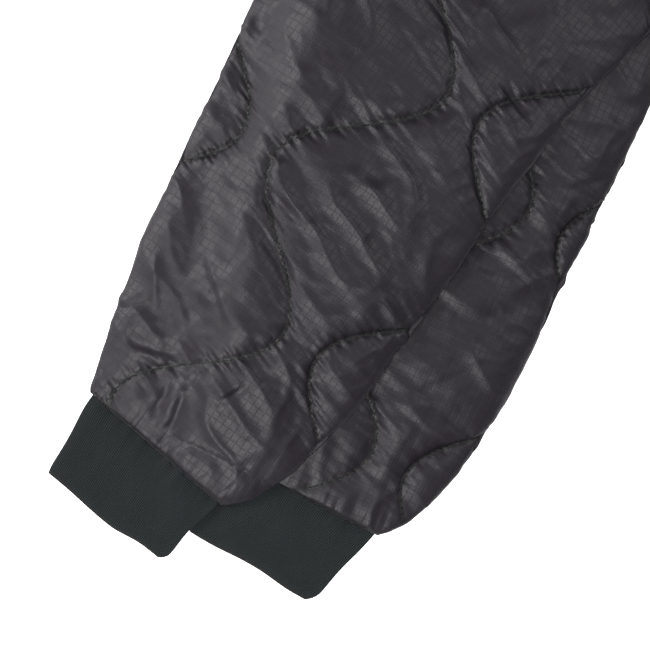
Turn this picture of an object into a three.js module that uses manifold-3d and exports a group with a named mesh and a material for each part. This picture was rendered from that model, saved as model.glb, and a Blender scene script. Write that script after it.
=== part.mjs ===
// Quilted zip-up hoodie: zipped, folded in half along its centre line with the fronts outside,
// and laid on a flat surface. Both sleeves reach to the same side, the left one over the right one.
//
// Millimetres. X runs across the folded body, with the fold at x = 0 and the sleeves towards -X.
// Y runs from the hem to the hood. Z is up, and the surface it lies on is z = 0.

import * as THREE from 'three';
import { mergeVertices } from 'three/addons/utils/BufferGeometryUtils.js';
import Module from 'manifold-3d';

const wasm = await Module();
wasm.setup();

// ---------------------------------------------------------------- driving dimensions

const WALL = 4;                            // padded panel: two layers of nylon and the batting
const LAYER_GAP = 0.4;                     // between panels that lie on each other
const SEAM_GAP = 0.3;                      // between pieces at a seam
const LAYER = WALL + LAYER_GAP;
const STACK = 4 * WALL + 3 * LAYER_GAP;    // front, back, back, front
const MIDDLE = STACK / 2;
const FOLD_X = -MIDDLE;                    // centre of the lengthwise fold

const HEM_HEIGHT = 65;
const HEM_SIDE_X = -258;                   // the rib band is narrower than the panels above it
const RIB_WALL = 3.6;
const SIDE_X = -290;                       // side seam at the top of the hem band
const UNDERARM = { x: -300, y: 430 };
const SHOULDER = { x: -262, y: 662 };      // outer end of the shoulder seam
const NECK = { x: -95, y: 710 };           // inner end of the shoulder seam
const FRONT_NECK_Y = 628;
const BACK_NECK_Y = 690;
const ARMHOLE_DEPTH = 30;                  // how far the armhole curves in from a straight line

const ZIP_X = -16;                         // centre line of the zip, on the upper face
const PANEL_TO_ZIP = 8;                    // from the centre of the zip to a front's edge
const TAPE_INNER = 3.3;
const TAPE_OUTER = 7.6;
const TAPE_THICK = 1;
const CHAIN_WIDTH = 5.4;
const CHAIN_THICK = 2.4;
const BOX_START_Y = 3;
const BOX_END_Y = 15;
const SLIDER = { start: 595.3, length: 12, width: 9, plate: 1.4, web: 2 };
const BRIDGE = { width: 2.4, leg: 1.4, front: 1.9, length: 8.2, clear: 1.9, thick: 1.2 };
const PULL = { hingeY: 601, bar: 1.2, width: 6.4, hole: 6.4, length: 35, tip: 8 };

const ARMHOLE_CENTRE = { x: (UNDERARM.x + SHOULDER.x) / 2, y: (UNDERARM.y + SHOULDER.y) / 2 };
const CAP_REACH = 130;                     // length over which the sleeve head straightens out
const EDGE_RISE = 0.32;                    // height of a sleeve's fold edge, as a part of its thickness
const SLIT = 0.12;                         // hollow inside a flattened sleeve, as a part of its thickness
const MOUTH_SETBACK = 1;                   // how far the hollow's end stands back from the armhole seam
const LIFT_MARGIN = 6;
const LIFT_REACH = 46;                     // run over which the upper sleeve comes down to the surface

// Sleeve sections. 'along' is the distance from the armhole centre down the sleeve's centre line,
// 'slant' how much further along the underarm end lies than the overarm end, 'over' and 'under'
// the two edges measured across from that line, and 'thick' the height of the flattened tube.
const UPPER_SLEEVE = {
  angle: 27.5,
  rows: [
    { along: 0, slant: 140, over: 94, under: -94, thick: 8.4 },
    { along: 60, slant: 90, over: 115, under: -81, thick: 9.5 },
    { along: 120, slant: 50, over: 135, under: -74, thick: 12 },
    { along: 180, slant: 20, over: 148, under: -67, thick: 15 },
    { along: 240, slant: 0, over: 148, under: -64, thick: 17 },
    { along: 300, slant: 0, over: 137, under: -65, thick: 17 },
    { along: 360, slant: 0, over: 128, under: -63, thick: 17 },
    { along: 420, slant: 2, over: 117, under: -61, thick: 16 },
    { along: 470, slant: 5, over: 105, under: -53, thick: 13.5 },
    { along: 503, slant: 9, over: 96, under: -41, thick: 10 },
    { along: 522, slant: 12, over: 91, under: -25, thick: 6.5 },
  ],
  cuff: [
    { along: 522.5, slant: 12, over: 89, under: -23, thick: 5.4 },
    { along: 548, slant: 10, over: 88, under: -19, thick: 5 },
    { along: 580, slant: 8, over: 84, under: -14, thick: 4.8 },
  ],
};
const LOWER_SLEEVE = {
  angle: 37.5,
  rows: [
    { along: 0, slant: 171, over: 80, under: -80, thick: 8.4 },
    { along: 60, slant: 120, over: 98, under: -82, thick: 9 },
    { along: 120, slant: 66, over: 117, under: -83, thick: 11 },
    { along: 170, slant: 26, over: 130, under: -82, thick: 14 },
    { along: 215, slant: 5, over: 131, under: -82, thick: 16 },
    { along: 275, slant: 0, over: 122, under: -80, thick: 16 },
    { along: 335, slant: 0, over: 113, under: -78, thick: 16 },
    { along: 395, slant: 0, over: 103, under: -75, thick: 15 },
    { along: 445, slant: 2, over: 92, under: -66, thick: 13 },
    { along: 479, slant: 4, over: 84, under: -53, thick: 9.5 },
    { along: 497, slant: 6, over: 78, under: -37, thick: 6.5 },
  ],
  cuff: [
    { along: 497.5, slant: 6, over: 76, under: -35, thick: 5.4 },
    { along: 523, slant: 8, over: 78, under: -27, thick: 5 },
    { along: 554.5, slant: 9, over: 80, under: -15, thick: 4.8 },
  ],
};
const SLEEVE_STATIONS = 20;
const CUFF_STATIONS = 3;
const ROUND = 20;                          // points round a sleeve section

// Hood sections from the neck seam to the crown: the face edge, the outer fold and the centre seam.
const HOOD_ROWS = [
  { openX: -34, openY: 634, foldX: -95, foldY: 710, centreY: 690 },
  { openX: -57, openY: 705, foldX: -127, foldY: 775, centreY: 745 },
  { openX: -76, openY: 790, foldX: -143, foldY: 860, centreY: 830 },
  { openX: -79, openY: 870, foldX: -138, foldY: 940, centreY: 910 },
  { openX: -64, openY: 930, foldX: -110, foldY: 1000, centreY: 970 },
  { openX: -38, openY: 964, foldX: -64, foldY: 1034, centreY: 1012 },
  { openX: -9, openY: 980, foldX: -19, foldY: 1046, centreY: 1036 },
];
const HOOD_STEPS = 2;                      // stations per row of the table

// ---------------------------------------------------------------- materials

function finish(name, color, roughness, metalness = 0) {
  const material = new THREE.MeshStandardMaterial({ color, roughness, metalness });
  material.name = name;
  return material;
}

const nylon = finish('quilted_nylon', 0x4c484d, 0.5);
const rib = finish('rib_knit', 0x363b3b, 0.95);
const tape = finish('zip_tape', 0x242426, 0.9);
const metal = finish('zip_metal', 0x2b2b2d, 0.4, 0.8);

const garment = new THREE.Group();

function place(name, geometry, material) {
  const mesh = new THREE.Mesh(geometry, material);
  mesh.name = name;
  garment.add(mesh);
}

// ---------------------------------------------------------------- small mathematics

const lerp = THREE.MathUtils.lerp;
const smooth = (t) => THREE.MathUtils.smoothstep(t, 0, 1);

function mix(a, b, t) {
  return { x: lerp(a.x, b.x, t), y: lerp(a.y, b.y, t) };
}

// A smooth curve through a table's rows, read at any value of the key column.
function valueAt(rows, key, column, where) {
  const last = rows.length - 1;
  let i = 0;
  while (i < last - 1 && where > rows[i + 1][key]) i += 1;
  const a = rows[i];
  const b = rows[i + 1];
  const before = rows[Math.max(i - 1, 0)];
  const after = rows[Math.min(i + 2, last)];
  const span = b[key] - a[key];
  const t = THREE.MathUtils.clamp((where - a[key]) / span, 0, 1);
  const slopeA = ((b[column] - before[column]) / (b[key] - before[key])) * span;
  const slopeB = ((after[column] - a[column]) / (after[key] - a[key])) * span;
  const t2 = t * t;
  const t3 = t2 * t;
  return (2 * t3 - 3 * t2 + 1) * a[column] + (t3 - 2 * t2 + t) * slopeA
    + (3 * t2 - 2 * t3) * b[column] + (t3 - t2) * slopeB;
}

// A closed wall between two grids of points. With 'loop', each row of points closes on itself.
function wall(outer, inner, loop = false) {
  const rows = outer.length;
  const columns = outer[0].length;
  const points = [...outer.flat(), ...inner.flat()];
  const at = (layer, i, j) => layer * rows * columns + i * columns + (j % columns);
  const faces = [];
  const quad = (a, b, c, d) => faces.push(a, b, c, a, c, d);
  const steps = loop ? columns : columns - 1;
  for (let j = 0; j < steps; j += 1) {
    for (let i = 0; i < rows - 1; i += 1) {
      quad(at(0, i, j), at(0, i, j + 1), at(0, i + 1, j + 1), at(0, i + 1, j));
      quad(at(1, i, j), at(1, i + 1, j), at(1, i + 1, j + 1), at(1, i, j + 1));
    }
    quad(at(1, 0, j), at(1, 0, j + 1), at(0, 0, j + 1), at(0, 0, j));
    const end = rows - 1;
    quad(at(0, end, j), at(0, end, j + 1), at(1, end, j + 1), at(1, end, j));
  }
  if (!loop) {
    const end = columns - 1;
    for (let i = 0; i < rows - 1; i += 1) {
      quad(at(0, i, 0), at(0, i + 1, 0), at(1, i + 1, 0), at(1, i, 0));
      quad(at(1, i, end), at(1, i + 1, end), at(0, i + 1, end), at(0, i, end));
    }
  }
  return facingOut(points, faces);
}

function facingOut(points, faces) {
  let volume = 0;
  for (let f = 0; f < faces.length; f += 3) {
    const [a, b, c] = [points[faces[f]], points[faces[f + 1]], points[faces[f + 2]]];
    volume += a.dot(b.clone().cross(c));
  }
  const ordered = volume > 0 ? faces : faces.toReversed();
  const geometry = new THREE.BufferGeometry().setFromPoints(points);
  geometry.setIndex(ordered);
  geometry.computeVertexNormals();
  return geometry;
}

// Where a path that runs flat, round a half circle and back flat has got to, and which way is out.
function turn(beyond, radius) {
  const angle = THREE.MathUtils.clamp(beyond / radius, 0, Math.PI);
  const straight = beyond <= 0 ? beyond : -Math.max(0, beyond - Math.PI * radius);
  return {
    out: straight + radius * Math.sin(angle),
    up: -radius * Math.cos(angle),
    faceOut: Math.sin(angle),
    faceUp: -Math.cos(angle),
  };
}

// ---------------------------------------------------------------- pattern edges of the body

function armhole(t) {
  const point = mix(UNDERARM, SHOULDER, t);
  const length = Math.hypot(SHOULDER.x - UNDERARM.x, SHOULDER.y - UNDERARM.y);
  const depth = ARMHOLE_DEPTH * 4 * t * (1 - t);
  point.x += (depth * (SHOULDER.y - UNDERARM.y)) / length;
  point.y -= (depth * (SHOULDER.x - UNDERARM.x)) / length;
  return point;
}

function bend(start, control, end, t) {
  return mix(mix(start, control, t), mix(control, end, t), t);
}

const sideTop = 0.5;                       // part of a panel's side that is side seam
const shoulderEnd = 0.66;                  // part of a panel's top that is shoulder seam

function sideEdge(v) {
  const hem = { x: SIDE_X, y: HEM_HEIGHT };
  return v < sideTop ? mix(hem, UNDERARM, v / sideTop) : armhole((v - sideTop) / (1 - sideTop));
}

function frontNeck(endX, t) {
  return bend(NECK, { x: NECK.x + 8, y: FRONT_NECK_Y + 6 }, { x: endX, y: FRONT_NECK_Y }, t);
}

const LEFT_EDGE_X = ZIP_X - PANEL_TO_ZIP;
const RIGHT_EDGE_X = FOLD_X + Math.PI * 1.5 * LAYER;    // the right front's edge, with its fold opened out
const leftNeck = (t) => frontNeck(LEFT_EDGE_X, t);
const rightNeck = (t) => frontNeck(RIGHT_EDGE_X, t);

function backNeck(t) {
  return bend(NECK, { x: NECK.x + 30, y: BACK_NECK_Y }, { x: FOLD_X, y: BACK_NECK_Y }, t);
}

function topEdge(neckline, u) {
  return u < shoulderEnd ? mix(SHOULDER, NECK, u / shoulderEnd) : neckline((u - shoulderEnd) / (1 - shoulderEnd));
}

// A four-sided patch between a side edge, a straight centre edge, a hem and a shaped top.
function halfPanel(neckline, centreX, topY) {
  const low = { x: SIDE_X, y: HEM_HEIGHT };
  const lowEnd = { x: centreX, y: HEM_HEIGHT };
  const highEnd = { x: centreX, y: topY };
  return (u, v) => {
    const bottom = mix(low, lowEnd, u);
    const top = topEdge(neckline, u);
    const side = sideEdge(v);
    const centre = mix(lowEnd, highEnd, v);
    const corners = mix(mix(low, lowEnd, u), mix(SHOULDER, highEnd, u), v);
    return {
      x: lerp(bottom.x, top.x, v) + lerp(side.x, centre.x, u) - corners.x,
      y: lerp(bottom.y, top.y, v) + lerp(side.y, centre.y, u) - corners.y,
    };
  };
}

// Rows up the side seam, then one for each point of a sleeve section round the armhole.
const armholeRows = Array.from({ length: ROUND / 2 }, (_, j) => (1 - Math.cos((2 * Math.PI * (j + 1)) / ROUND)) / 2);
const panelRows = [0, 0.17, 0.34, 0.5, ...armholeRows.map((t) => sideTop + (1 - sideTop) * t)];
const neckSteps = [0, 0.2, 0.4, 0.6, 0.8, 1];
const topAtNeck = (t) => shoulderEnd + (1 - shoulderEnd) * t;
const flatColumns = [0, 0.08, 0.18, 0.3, 0.42, 0.54, ...neckSteps.slice(0, -1).map(topAtNeck)];

function spread(start, end, count) {
  return Array.from({ length: count + 1 }, (_, i) => lerp(start, end, i / count));
}

// A half panel's points pushed out and in, bent round the lengthwise fold.
function foldedPanel(patch, columns, radius, hemGap) {
  const sides = [WALL / 2, -WALL / 2];
  return sides.map((offset) => panelRows.map((v) => columns.map((u) => {
    const flat = patch(u, v);
    const path = turn(flat.x - FOLD_X, radius);
    const x = FOLD_X + path.out + path.faceOut * offset;
    return new THREE.Vector3(x, flat.y + hemGap * (1 - v), MIDDLE + path.up + path.faceUp * offset);
  })));
}

// ---------------------------------------------------------------- body panels

function frontLeft() {
  const patch = halfPanel(leftNeck, LEFT_EDGE_X, FRONT_NECK_Y);
  const columns = [...flatColumns, 1];
  const height = MIDDLE + 1.5 * LAYER;
  const layers = [WALL / 2, -WALL / 2].map((offset) => panelRows.map((v) => columns.map((u) => {
    const flat = patch(u, v);
    return new THREE.Vector3(flat.x, flat.y + SEAM_GAP * (1 - v), height + offset);
  })));
  return wall(layers[0], layers[1]);
}

function frontRight() {
  const radius = 1.5 * LAYER;
  const patch = halfPanel(rightNeck, RIGHT_EDGE_X, FRONT_NECK_Y);
  const columns = [...flatColumns, ...spread(flatColumns.at(-1), 1, 8).slice(1)];
  const layers = foldedPanel(patch, columns, radius, SEAM_GAP);
  return wall(layers[0], layers[1]);
}

// The back is one piece: its right half below, round the fold, its left half above.
function back() {
  const radius = LAYER / 2;
  const edge = FOLD_X + (Math.PI * radius) / 2;
  const patch = halfPanel(backNeck, FOLD_X, BACK_NECK_Y);
  const half = [...flatColumns, 1];
  const layers = [WALL / 2, -WALL / 2].map((offset) => panelRows.map((v) => {
    const row = [];
    const add = (flat, beyond) => {
      const path = turn(beyond, radius);
      const x = FOLD_X + path.out + path.faceOut * offset;
      row.push(new THREE.Vector3(x, flat.y + SEAM_GAP * (1 - v), MIDDLE + path.up + path.faceUp * offset));
    };
    for (const u of half) add(patch(u, v), patch(u, v).x - FOLD_X);
    for (const t of spread(0, 1, 6).slice(1, -1)) add(patch(1, v), 2 * t * (edge - FOLD_X));
    for (const u of half.toReversed()) {
      add(patch(u, v), 2 * (edge - FOLD_X) + FOLD_X - patch(u, v).x);
    }
    return row;
  }));
  return wall(layers[0], layers[1]);
}

// A ribbon's path in the XZ plane: straight runs to a given x, and half turns.
function ribbonPath(start, heading, moves) {
  const steps = 6;
  const points = [];
  let { x, z } = start;
  let direction = heading;
  const push = () => points.push({ x, z, across: { x: -Math.sin(direction), z: Math.cos(direction) } });
  push();
  for (const move of moves) {
    if (move.toX !== undefined) {
      x = move.toX;
      push();
    } else {
      const side = Math.sign(move.turn);
      const radius = Math.abs(move.turn);
      const centre = { x: x - side * radius * Math.sin(direction), z: z + side * radius * Math.cos(direction) };
      for (let i = 1; i <= steps; i += 1) {
        const angle = direction + (side * Math.PI * i) / steps;
        x = centre.x + side * radius * Math.sin(angle);
        z = centre.z - side * radius * Math.cos(angle);
        const kept = direction;
        direction = angle;
        push();
        direction = kept;
      }
      direction += side * Math.PI;
    }
  }
  return points;
}

function hemBand() {
  const small = LAYER / 2;
  const path = ribbonPath({ x: LEFT_EDGE_X, z: MIDDLE + 1.5 * LAYER }, Math.PI, [
    { toX: HEM_SIDE_X }, { turn: small }, { toX: FOLD_X }, { turn: -small },
    { toX: HEM_SIDE_X }, { turn: small }, { toX: FOLD_X }, { turn: 1.5 * LAYER },
  ]);
  const layers = [RIB_WALL / 2, -RIB_WALL / 2].map((offset) => [0, HEM_HEIGHT].map((y) => path.map((p) => (
    new THREE.Vector3(p.x + p.across.x * offset, y, p.z + p.across.z * offset)))));
  return wall(layers[0], layers[1]);
}

// ---------------------------------------------------------------- sleeves and cuffs

function sleeveFrame(sleeve) {
  const angle = THREE.MathUtils.degToRad(sleeve.angle);
  return {
    along: { x: -Math.cos(angle), y: -Math.sin(angle) },
    across: { x: -Math.sin(angle), y: Math.cos(angle) },
  };
}

function inPlan(sleeve, along, across) {
  const axes = sleeveFrame(sleeve);
  return {
    x: ARMHOLE_CENTRE.x + axes.along.x * along + axes.across.x * across,
    y: ARMHOLE_CENTRE.y + axes.along.y * along + axes.across.y * across,
  };
}

// A section's values at any distance along, in the sleeve or in its cuff.
function sectionAt(rows, along) {
  const read = (column) => valueAt(rows, 'along', column, along);
  return { along, slant: read('slant'), over: read('over'), under: read('under'), thick: read('thick') };
}

// Plan position on a section, from q = -1 at the underarm edge to q = 1 at the overarm edge.
function onSection(sleeve, section, q) {
  const straight = inPlan(sleeve, section.along - (section.slant * q) / 2,
    lerp(section.under, section.over, (q + 1) / 2));
  const head = 1 - smooth(section.along / CAP_REACH);
  if (head === 0) return straight;
  const first = sectionAt(sleeve.rows, 0);
  const start = inPlan(sleeve, -(first.slant * q) / 2, lerp(first.under, first.over, (q + 1) / 2));
  const seam = armhole((q + 1) / 2);
  return {
    x: straight.x + head * (seam.x - start.x - SEAM_GAP - 0.05),
    y: straight.y + head * (seam.y - start.y),
  };
}

// Height that the lower sleeve and its cuff hold the upper one up to, at a place in plan.
function liftAt(x, y) {
  const axes = sleeveFrame(LOWER_SLEEVE);
  const dx = x - ARMHOLE_CENTRE.x;
  const dy = y - ARMHOLE_CENTRE.y;
  const along = dx * axes.along.x + dy * axes.along.y;
  const across = dx * axes.across.x + dy * axes.across.y;
  const seam = LOWER_SLEEVE.cuff[0].along;
  const end = LOWER_SLEEVE.cuff.at(-1).along;
  let place = along;
  let section = sectionAt(LOWER_SLEEVE.rows, 0);
  for (let i = 0; i < 6; i += 1) {
    const rows = place < seam ? LOWER_SLEEVE.rows : LOWER_SLEEVE.cuff;
    section = sectionAt(rows, THREE.MathUtils.clamp(place, 0, end));
    const q = (2 * (across - section.under)) / (section.over - section.under) - 1;
    place = along + (section.slant * THREE.MathUtils.clamp(q, -1, 1)) / 2;
  }
  const beyond = Math.max(across - section.over, section.under - across, place - end) - LIFT_MARGIN;
  return (section.thick + LAYER_GAP) * (1 - smooth(beyond / LIFT_REACH));
}

// One section's outer and inner loops: a flattened tube, level below and crowned above.
function sectionLoops(sleeve, section, lift) {
  const outer = [];
  const inner = [];
  const rise = section.thick * EDGE_RISE;
  const bottomAt = (q) => rise * Math.abs(q) ** 6;
  const topAt = (q) => rise + (section.thick - rise) * Math.sqrt(Math.max(0, 1 - Math.abs(q) ** 2.6));
  const slit = (section.thick * SLIT) / 2;
  for (let j = 0; j < ROUND; j += 1) {
    const angle = (2 * Math.PI * j) / ROUND;
    const q = -Math.cos(angle);
    const upper = Math.sin(angle) >= 0;
    const place = onSection(sleeve, section, q);
    const z = upper ? topAt(q) : bottomAt(q);
    outer.push(new THREE.Vector3(place.x, place.y, z + lift(place)));
    const inset = 0.9 * q;
    const innerPlace = onSection(sleeve, section, inset);
    innerPlace.x -= MOUTH_SETBACK * (1 - smooth(section.along / CAP_REACH));
    const level = (topAt(inset) + bottomAt(inset)) / 2 + slit * Math.sin(angle);
    inner.push(new THREE.Vector3(innerPlace.x, innerPlace.y, level + lift(innerPlace)));
  }
  return { outer, inner };
}

function flatTube(sleeve, rows, stations, lift) {
  const start = rows[0].along;
  const end = rows.at(-1).along;
  const loops = spread(start, end, stations).map((along) => (
    sectionLoops(sleeve, sectionAt(rows, along), lift)));
  return wall(loops.map((l) => l.outer), loops.map((l) => l.inner), true);
}

// ---------------------------------------------------------------- hood

// One half of the hood: its face side lies outermost, turns at the outer fold and comes back
// to the centre seam on the inside. 'side' is 1 for the upper half and -1 for the lower one,
// 'neckline' the front neck edge that it is sewn to, and 'steps' the places sewn along it.
function hoodHalf(side, neckline, steps) {
  const radius = LAYER / 2;
  const rows = HOOD_ROWS.map((row, index) => ({ ...row, index }));
  const stations = spread(0, rows.length - 1, (rows.length - 1) * HOOD_STEPS);
  const level = MIDDLE + side * LAYER;
  const reach = steps.at(-1);
  const layers = [WALL / 2, -WALL / 2].map((offset) => stations.map((where) => {
    const read = (column) => valueAt(rows, 'index', column, where);
    const open = { x: read('openX'), y: read('openY') };
    const fold = { x: read('foldX'), y: read('foldY') };
    const centre = { x: FOLD_X, y: read('centreY') };
    const atNeck = 1 - smooth(where);
    const row = [];
    const add = (point, height) => row.push(
      new THREE.Vector3(point.x, point.y + SEAM_GAP, level + side * height));
    for (const t of steps.toReversed()) {
      const seam = neckline(t);
      seam.x += SEAM_GAP;
      add(mix(mix(fold, open, t / reach), seam, atNeck), radius + offset);
    }
    const length = Math.hypot(fold.x - open.x, fold.y - open.y);
    const way = { x: (fold.x - open.x) / length, y: (fold.y - open.y) / length };
    for (const angle of spread(0, Math.PI, 4).slice(1, -1)) {
      const out = (radius + offset) * Math.sin(angle);
      add({ x: fold.x + way.x * out, y: fold.y + way.y * out }, (radius + offset) * Math.cos(angle));
    }
    for (const t of neckSteps) {
      add(mix(mix(fold, centre, t), backNeck(t), atNeck), -(radius + offset));
    }
    return row;
  }));
  return wall(layers[0], layers[1]);
}

// ---------------------------------------------------------------- zip

function block(x0, x1, y0, y1, z0, z1) {
  const geometry = new THREE.BoxGeometry(x1 - x0, y1 - y0, z1 - z0);
  return geometry.translate((x0 + x1) / 2, (y0 + y1) / 2, (z0 + z1) / 2);
}

function toSolid(geometry) {
  geometry.deleteAttribute('normal');
  geometry.deleteAttribute('uv');
  const merged = mergeVertices(geometry, 1e-4);
  const vertProperties = new Float32Array(merged.attributes.position.array);
  const triVerts = new Uint32Array(merged.index.array);
  return new wasm.Manifold(new wasm.Mesh({ numProp: 3, vertProperties, triVerts }));
}

function toGeometry(solid) {
  const mesh = solid.getMesh();
  const geometry = new THREE.BufferGeometry();
  geometry.setAttribute('position', new THREE.BufferAttribute(mesh.vertProperties, 3));
  geometry.setIndex(new THREE.BufferAttribute(mesh.triVerts, 1));
  geometry.computeVertexNormals();
  return geometry;
}

const zipZ = MIDDLE + 1.5 * LAYER;
const zipTopY = FRONT_NECK_Y - 1;

function zipTape(side) {
  const edges = [ZIP_X + side * TAPE_INNER, ZIP_X + side * TAPE_OUTER - side * SEAM_GAP];
  const [x0, x1] = edges.sort((a, b) => a - b);
  return block(x0, x1, BOX_START_Y, zipTopY, zipZ - TAPE_THICK / 2, zipZ + TAPE_THICK / 2);
}

function chain() {
  const half = CHAIN_WIDTH / 2;
  const end = SLIDER.start - SEAM_GAP;
  return block(ZIP_X - half, ZIP_X + half, BOX_END_Y + SEAM_GAP, end, zipZ - CHAIN_THICK / 2, zipZ + CHAIN_THICK / 2);
}

function zipBox() {
  const half = TAPE_INNER - SEAM_GAP;
  return block(ZIP_X - half, ZIP_X + half, BOX_START_Y, BOX_END_Y, zipZ - 1.4, zipZ + 1.4);
}

const plateGap = TAPE_THICK / 2 + 0.4;
const plateTop = zipZ + plateGap + SLIDER.plate;
const hingeZ = plateTop + 0.95;

function slider() {
  const y0 = SLIDER.start;
  const y1 = y0 + SLIDER.length;
  const half = SLIDER.width / 2;
  const web = SLIDER.web / 2;
  const bridge = BRIDGE.width / 2;
  const start = y0 + BRIDGE.front;
  const end = start + BRIDGE.length;
  const roof = plateTop + BRIDGE.clear + BRIDGE.thick;
  const blocks = [
    block(ZIP_X - half, ZIP_X + half, y0, y1, plateTop - SLIDER.plate, plateTop),
    block(ZIP_X - half, ZIP_X + half, y0, y1, zipZ - 2.2, zipZ - plateGap),
    block(ZIP_X - web, ZIP_X + web, y0, y1, zipZ - 2, plateTop - 0.5),
    block(ZIP_X - bridge, ZIP_X + bridge, start, start + BRIDGE.leg, plateTop - 0.5, roof),
    block(ZIP_X - bridge, ZIP_X + bridge, end - BRIDGE.leg, end, plateTop - 0.5, roof),
    block(ZIP_X - bridge, ZIP_X + bridge, start, end, plateTop + BRIDGE.clear, roof),
  ];
  return toGeometry(blocks.map(toSolid).reduce((whole, piece) => whole.add(piece)));
}

// The pull tab: a crossbar under the bridge, two arms, and a tab that lies towards the hem.
function pull() {
  const half = PULL.width / 2;
  const bar = PULL.bar;
  const tip = PULL.tip / 2;
  const outline = new THREE.Shape();
  outline.moveTo(-half, bar / 2);
  outline.lineTo(-half, -PULL.hole - bar);
  outline.lineTo(-tip, -PULL.length + tip);
  outline.absarc(0, -PULL.length + tip, tip, Math.PI, 2 * Math.PI, false);
  outline.lineTo(half, -PULL.hole - bar);
  outline.lineTo(half, bar / 2);
  outline.closePath();
  const hole = new THREE.Path();
  hole.moveTo(-half + bar, -bar / 2);
  hole.lineTo(half - bar, -bar / 2);
  hole.lineTo(half - bar, -PULL.hole);
  hole.lineTo(-half + bar, -PULL.hole);
  hole.closePath();
  outline.holes.push(hole);
  const geometry = new THREE.ExtrudeGeometry(outline, { depth: bar, bevelEnabled: false, curveSegments: 8 });
  geometry.translate(ZIP_X, PULL.hingeY, hingeZ - bar / 2);
  return geometry;
}

// ---------------------------------------------------------------- the garment

place('front_left', frontLeft(), nylon);
place('front_right', frontRight(), nylon);
place('back', back(), nylon);
place('hem_band', hemBand(), rib);

const onSurface = () => 0;
const overLower = (point) => liftAt(point.x, point.y);
place('sleeve_right', flatTube(LOWER_SLEEVE, LOWER_SLEEVE.rows, SLEEVE_STATIONS, onSurface), nylon);
place('cuff_right', flatTube(LOWER_SLEEVE, LOWER_SLEEVE.cuff, CUFF_STATIONS, onSurface), rib);
place('sleeve_left', flatTube(UPPER_SLEEVE, UPPER_SLEEVE.rows, SLEEVE_STATIONS, overLower), nylon);
place('cuff_left', flatTube(UPPER_SLEEVE, UPPER_SLEEVE.cuff, CUFF_STATIONS, overLower), rib);

place('hood_left', hoodHalf(1, leftNeck, neckSteps), nylon);
place('hood_right', hoodHalf(-1, rightNeck, neckSteps.slice(0, -1)), nylon);

place('zip_tape_left', zipTape(-1), tape);
place('zip_tape_right', zipTape(1), tape);
place('zip_chain', chain(), metal);
place('zip_box', zipBox(), metal);
place('zip_slider', slider(), metal);
place('zip_pull', pull(), metal);

// The origin is the middle of the garment's outline, on the surface that it lies on.
garment.updateMatrixWorld(true);
const extent = new THREE.Box3().setFromObject(garment, true);
garment.position.set(-(extent.min.x + extent.max.x) / 2, -(extent.min.y + extent.max.y) / 2, -extent.min.z);

export default garment;
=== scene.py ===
"""Quilted zip-up hoodie, folded in half and laid flat: the looks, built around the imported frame.

Lengths inside the functions are millimetres in the garment's own frame: x = 0 at the lengthwise
fold, y = 0 at the hem, z = 0 on the surface. place() turns them into metres in the CAD frame.
"""

import bmesh
import bpy
import numpy as np
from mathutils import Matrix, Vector


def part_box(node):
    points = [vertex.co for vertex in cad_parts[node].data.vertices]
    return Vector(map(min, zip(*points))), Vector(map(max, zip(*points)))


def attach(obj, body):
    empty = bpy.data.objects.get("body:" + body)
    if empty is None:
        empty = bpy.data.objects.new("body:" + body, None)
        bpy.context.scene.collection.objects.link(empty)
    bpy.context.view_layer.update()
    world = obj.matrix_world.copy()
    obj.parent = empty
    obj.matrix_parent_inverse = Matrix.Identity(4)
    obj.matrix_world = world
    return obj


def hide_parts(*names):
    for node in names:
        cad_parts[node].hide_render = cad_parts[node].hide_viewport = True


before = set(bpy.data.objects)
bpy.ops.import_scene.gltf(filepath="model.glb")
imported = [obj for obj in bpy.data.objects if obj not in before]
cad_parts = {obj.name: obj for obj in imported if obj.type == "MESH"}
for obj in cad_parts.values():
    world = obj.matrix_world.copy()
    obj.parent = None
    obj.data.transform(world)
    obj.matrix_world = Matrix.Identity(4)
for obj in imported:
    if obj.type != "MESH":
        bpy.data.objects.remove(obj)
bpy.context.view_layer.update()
FOLD_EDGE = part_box("front_right")[1][0]
HEM_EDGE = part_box("hem_band")[0][1]

# ---- sizes, as in the CAD part

WALL = 4.0
GAP = 0.4
SEAM_GAP = 0.3
LAYER = WALL + GAP
MIDDLE = (4 * WALL + 3 * GAP) / 2
FOLD_X = -MIDDLE
HEM_HEIGHT = 65.0
HEM_SIDE_X = -258.0
SIDE_X = -290.0
UNDERARM = np.array([-300.0, 430.0])
SHOULDER = np.array([-262.0, 662.0])
NECK = np.array([-95.0, 710.0])
FRONT_NECK_Y = 628.0
BACK_NECK_Y = 690.0
ARMHOLE_DEPTH = 30.0
ZIP_X = -16.0
LEFT_EDGE_X = ZIP_X - 8.0
RIGHT_EDGE_X = FOLD_X + np.pi * 1.5 * LAYER
ZIP_Z = MIDDLE + 1.5 * LAYER
SLIDER_START = 595.3
ARMHOLE_CENTRE = (UNDERARM + SHOULDER) / 2
CAP_REACH = 130.0
EDGE_RISE = 0.32
LIFT_MARGIN = 6.0
LIFT_REACH = 46.0
CROWN_SHARE = 0.94  # share of its thickness that a sleeve's crown reaches
CROWN_POWER = 2.6  # how square a sleeve's section is
EDGE_POWER = 14  # how close to its side edges a sleeve's relief turns sideways
METRES = 0.001  # metres in a millimetre

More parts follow.
